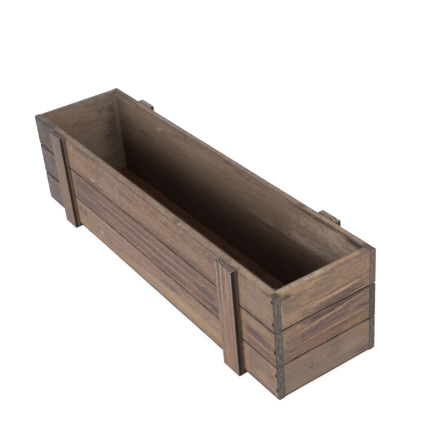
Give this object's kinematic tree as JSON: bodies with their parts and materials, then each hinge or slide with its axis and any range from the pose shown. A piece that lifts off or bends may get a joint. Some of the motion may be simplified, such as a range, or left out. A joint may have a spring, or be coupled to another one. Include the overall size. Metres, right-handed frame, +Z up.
{
  "type": "window box planter",
  "caption": "Long open-topped wooden planter box of stacked V-grooved planks with upright battens and low cross runners, for flowers on a sill.",
  "frame": {"origin": "middle of the box in plan, on the surface that the two runners stand on", "axes": "+X along the box to its right end, -Y out of the front, +Z up"},
  "size_m": [0.616, 0.165, 0.1575],
  "materials": {
    "stained_softwood_plank": "sanded softwood, scorched and brown-stained, matte, darker streaks along the grain",
    "stained_softwood_strip": "sanded softwood strip, brown-stained, matte, ridged grain and grey end grain",
    "stained_plywood": "thin plywood, brown-stained, matte and blotchy",
    "pale_corner_strip": "thin softwood strip, barely stained",
    "steel_brads": "darkened steel wire brads set below the surface"
  },
  "bodies": {
    "root": {"front_bottom_plank": "stained_softwood_plank", "front_middle_plank": "stained_softwood_plank", "front_top_plank": "stained_softwood_plank", "back_bottom_plank": "stained_softwood_plank", "back_middle_plank": "stained_softwood_plank", "back_top_plank": "stained_softwood_plank", "left_end_bottom_plank": "stained_softwood_plank", "left_end_middle_plank": "stained_softwood_plank", "left_end_top_plank": "stained_softwood_plank", "right_end_bottom_plank": "stained_softwood_plank", "right_end_middle_plank": "stained_softwood_plank", "right_end_top_plank": "stained_softwood_plank", "front_left_batten": "stained_softwood_strip", "front_right_batten": "stained_softwood_strip", "back_left_batten": "stained_softwood_strip", "back_right_batten": "stained_softwood_strip", "left_runner": "stained_softwood_strip", "right_runner": "stained_softwood_strip", "floor_board": "stained_plywood", "front_lining": "stained_plywood", "back_lining": "stained_plywood", "left_end_lining": "stained_plywood", "right_end_lining": "stained_plywood", "front_left_corner_strip": "pale_corner_strip", "front_right_corner_strip": "pale_corner_strip", "back_left_corner_strip": "pale_corner_strip", "back_right_corner_strip": "pale_corner_strip", "front_corner_brads": "steel_brads", "back_corner_brads": "steel_brads", "batten_brads": "steel_brads", "runner_brads": "steel_brads"}
  },
  "joints": []
}
